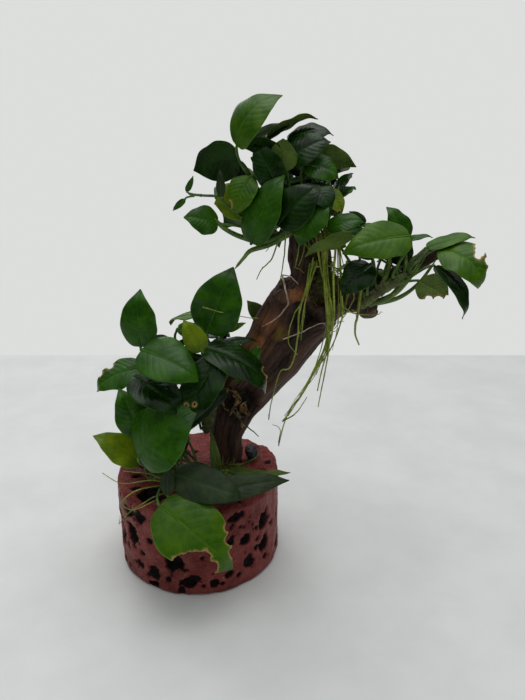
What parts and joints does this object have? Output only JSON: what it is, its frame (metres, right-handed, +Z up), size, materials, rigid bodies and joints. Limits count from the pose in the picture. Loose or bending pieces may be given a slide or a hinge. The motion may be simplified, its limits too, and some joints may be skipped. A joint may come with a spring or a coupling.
{
  "type": "aquarium plant on driftwood",
  "caption": "Anubias plants with glossy oval leaves growing on forked driftwood that stands in a pocked, drum-shaped red stone.",
  "frame": {"origin": "middle of the stone's flat underside", "axes": "+Z up, +X to the side that the driftwood leans to, -Y to the front, where the big leaves hang over the stone's rim"},
  "size_m": [0.2154, 0.1247, 0.2742],
  "materials": {
    "stone": "satin, pocked",
    "wood": "rough, wet and dark",
    "putty": "smooth, dull",
    "moss": "matte, tufted",
    "rhizome": "satin",
    "root": "satin",
    "leaf_light": "glossy, fresh green",
    "leaf_mid": "glossy, green",
    "leaf_dark": "glossy, dark green",
    "leaf_pale": "matte, pale green underside"
  },
  "bodies": {
    "root": {"stone_base": "stone", "driftwood_trunk": "wood", "driftwood_left_stub": "wood", "driftwood_right_branch": "wood", "putty_lump": "putty", "moss_tuft": "moss", "rhizome_top": "rhizome", "rhizome_right": "rhizome", "rhizome_mid": "rhizome", "rhizome_foot": "rhizome", "root_long": "root", "root_forked": "root", "leaf_foot_torn_front": "leaf_light", "leaf_foot_front_great": "leaf_mid", "leaf_foot_grey_front": "leaf_dark", "leaf_foot_lance": "leaf_dark", "leaf_foot_boat": "leaf_pale", "leaf_foot_left_low_bright": "leaf_light", "leaf_foot_left_upright": "leaf_mid", "leaf_foot_grey_drop": "leaf_dark", "leaf_mid_round_top": "leaf_mid", "leaf_mid_front_upper": "leaf_mid", "leaf_mid_upper_left": "leaf_mid", "leaf_mid_right_arch": "leaf_dark", "leaf_mid_spotted": "leaf_dark", "leaf_mid_left_curl": "leaf_mid", "leaf_mid_dark_mid": "leaf_dark", "leaf_mid_young": "leaf_light", "leaf_mid_crescent": "leaf_dark", "leaf_top_tall": "leaf_light", "leaf_top_front_long": "leaf_mid", "leaf_top_front_broad": "leaf_dark", "leaf_top_front_hanging": "leaf_mid", "leaf_top_shiny_right": "leaf_dark", "leaf_top_left_droop": "leaf_dark", "leaf_top_left_low": "leaf_mid", "leaf_top_left_bright": "leaf_light", "leaf_top_left_yellow": "leaf_light", "leaf_top_pale_upright": "leaf_pale", "leaf_top_upper_grey": "leaf_pale", "leaf_top_upper_right": "leaf_dark", "leaf_top_dark_roof": "leaf_dark", "leaf_top_pale_point": "leaf_pale", "leaf_top_right_mid": "leaf_light", "leaf_top_dark_left": "leaf_dark", "leaf_top_right_dark": "leaf_dark", "leaf_top_right_yellow": "leaf_light", "leaf_top_right_olive": "leaf_mid", "leaf_top_bud_left": "leaf_dark", "leaf_top_back_hanging": "leaf_mid", "leaf_right_bright": "leaf_light", "leaf_right_torn_big": "leaf_light", "leaf_right_drooping": "leaf_dark", "leaf_right_upright": "leaf_mid", "leaf_right_upright_dark": "leaf_dark", "leaf_right_ribbed": "leaf_pale", "leaf_right_under_dark": "leaf_dark", "leaf_right_tip_flat": "leaf_light", "leaf_right_torn_pale": "leaf_pale", "leaf_right_back_small": "leaf_mid"}
  },
  "joints": []
}
